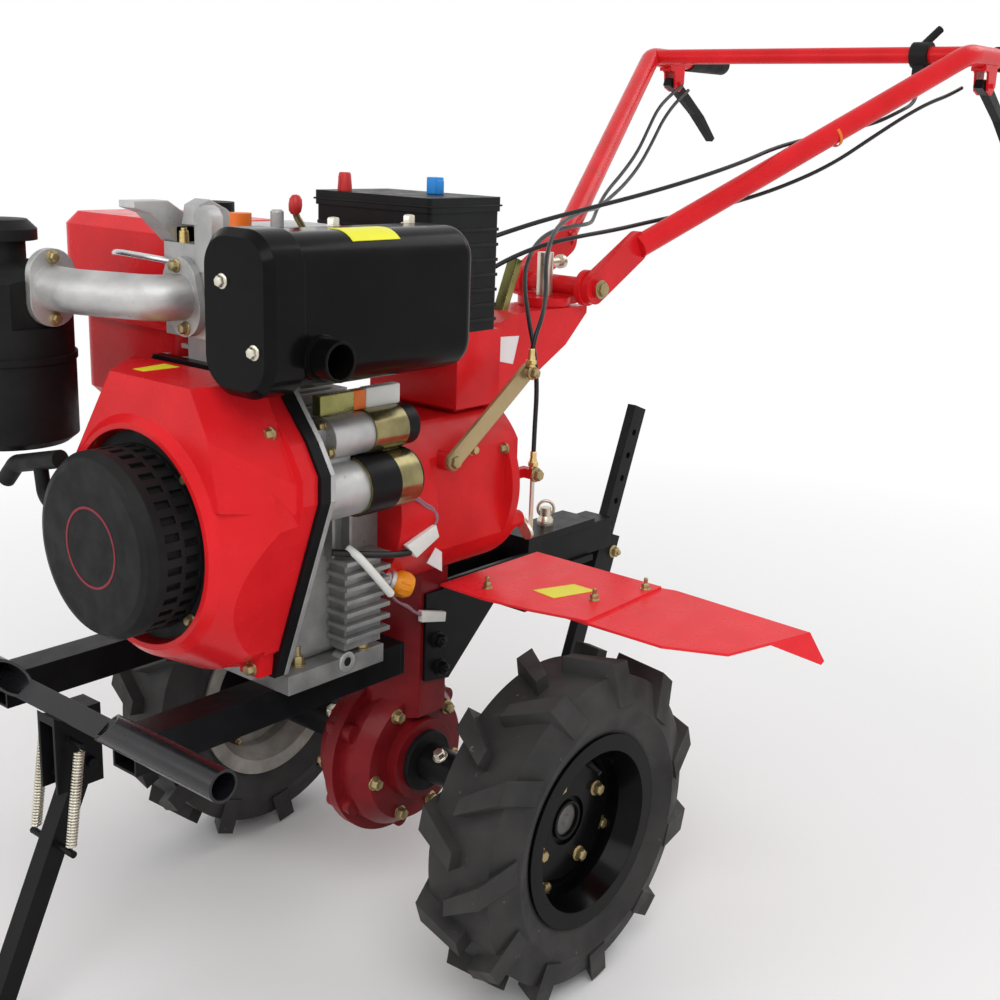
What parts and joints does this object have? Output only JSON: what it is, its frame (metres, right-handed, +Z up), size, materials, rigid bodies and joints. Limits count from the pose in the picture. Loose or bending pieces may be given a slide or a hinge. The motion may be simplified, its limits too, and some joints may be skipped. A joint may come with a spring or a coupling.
{
  "type": "walking tractor",
  "caption": "Two-wheeled walk-behind farm tractor with a recoil-start diesel engine, handlebar, fenders, front stand and rear drawbar.",
  "frame": {"origin": "on the ground at the middle of the length, midway between the two wheels", "axes": "+X forward, +Y to the machine's left, +Z up"},
  "size_m": [1.7526, 0.9708, 1.1725],
  "materials": {
    "tyre": "matte black rubber",
    "rim_black": "gloss black paint",
    "dark_red": "dark red casting paint",
    "bright_red": "gloss red paint",
    "black_steel": "satin black paint",
    "zinc": "zinc plated steel",
    "cast_aluminium": "raw casting",
    "black_plastic": "matte black",
    "orange_plastic": "gloss",
    "rubber": "matte",
    "red_plastic": "gloss",
    "battery_case": "satin black",
    "starter_gold": "yellow zinc",
    "cable": "satin black"
  },
  "bodies": {
    "chassis": {"air_cleaner": "black_plastic", "battery": "battery_case", "battery_posts": "red_plastic", "blower_plate": "black_steel", "blower_shroud": "bright_red", "bumper": "black_steel", "crank_arm": "zinc", "crankcase": "cast_aluminium", "cylinder_head": "cast_aluminium", "drawbar_clamp": "black_steel", "fender_brackets": "black_steel", "fenders": "bright_red", "final_drive": "dark_red", "finned_cover": "cast_aluminium", "frame_plate": "black_steel", "frame_rails": "black_steel", "fuel_cap": "black_plastic", "fuel_tank": "bright_red", "gearbox": "bright_red", "handlebar_column": "bright_red", "hitch": "black_steel", "hitch_pin": "zinc", "intake_elbow": "cast_aluminium", "left_clutch_cable": "cable", "lifting_brackets": "cast_aluminium", "main_clutch_cable": "cable", "muffler": "black_steel", "oil_cap": "orange_plastic", "recoil_handle": "black_plastic", "recoil_starter": "black_steel", "right_clutch_cable": "cable", "shift_lever": "zinc", "stand_bracket": "black_steel", "stand_springs": "zinc", "starter_motor": "starter_gold", "starter_nose": "cast_aluminium", "swivel_pin": "zinc", "throttle_cable": "cable"},
    "wheel_left": {"tyre_left": "tyre", "rim_left": "rim_black", "axle_hub_left": "black_steel"},
    "wheel_right": {"tyre_right": "tyre", "rim_right": "rim_black", "axle_hub_right": "black_steel"},
    "stand": {"stand_leg": "black_steel"},
    "handlebar_base": {"handlebar_yoke": "bright_red"},
    "handlebar": {"handlebar_arms": "bright_red", "crossbar": "bright_red", "grips": "rubber", "hand_levers": "black_steel", "lever_brackets": "bright_red", "throttle_lever": "black_plastic"},
    "depth_gauge": {"depth_bar": "black_steel"}
  },
  "joints": [
    {"name": "wheel_left_spin", "type": "hinge", "parent": "chassis", "child": "wheel_left", "pos_m": [0.29375, 0.285, 0.208], "axis": [0, 1, 0], "continuous": true},
    {"name": "wheel_right_spin", "type": "hinge", "parent": "chassis", "child": "wheel_right", "pos_m": [0.29375, -0.285, 0.208], "axis": [0, 1, 0], "continuous": true},
    {"name": "stand_fold", "type": "hinge", "parent": "chassis", "child": "stand", "pos_m": [0.70875, -0.07, 0.312], "axis": [0, 1, 0], "range_deg": [0, 110], "deforming": ["stand_springs"]},
    {"name": "handlebar_swivel", "type": "hinge", "parent": "chassis", "child": "handlebar_base", "pos_m": [0.00875, 0, 0.766], "axis": [0, 0, 1], "range_deg": [-30, 30], "deforming": ["left_clutch_cable", "main_clutch_cable", "right_clutch_cable", "throttle_cable"]},
    {"name": "handlebar_tilt", "type": "hinge", "parent": "handlebar_base", "child": "handlebar", "pos_m": [-0.01825, 0, 0.792], "axis": [0, 1, 0], "range_deg": [-12, 12], "deforming": ["left_clutch_cable", "main_clutch_cable", "right_clutch_cable", "throttle_cable"]},
    {"name": "depth_bar_slide", "type": "slide", "parent": "chassis", "child": "depth_gauge", "axis": [-0.3502, 0, 0.9367], "range_m": [-0.07, 0.06]}
  ]
}
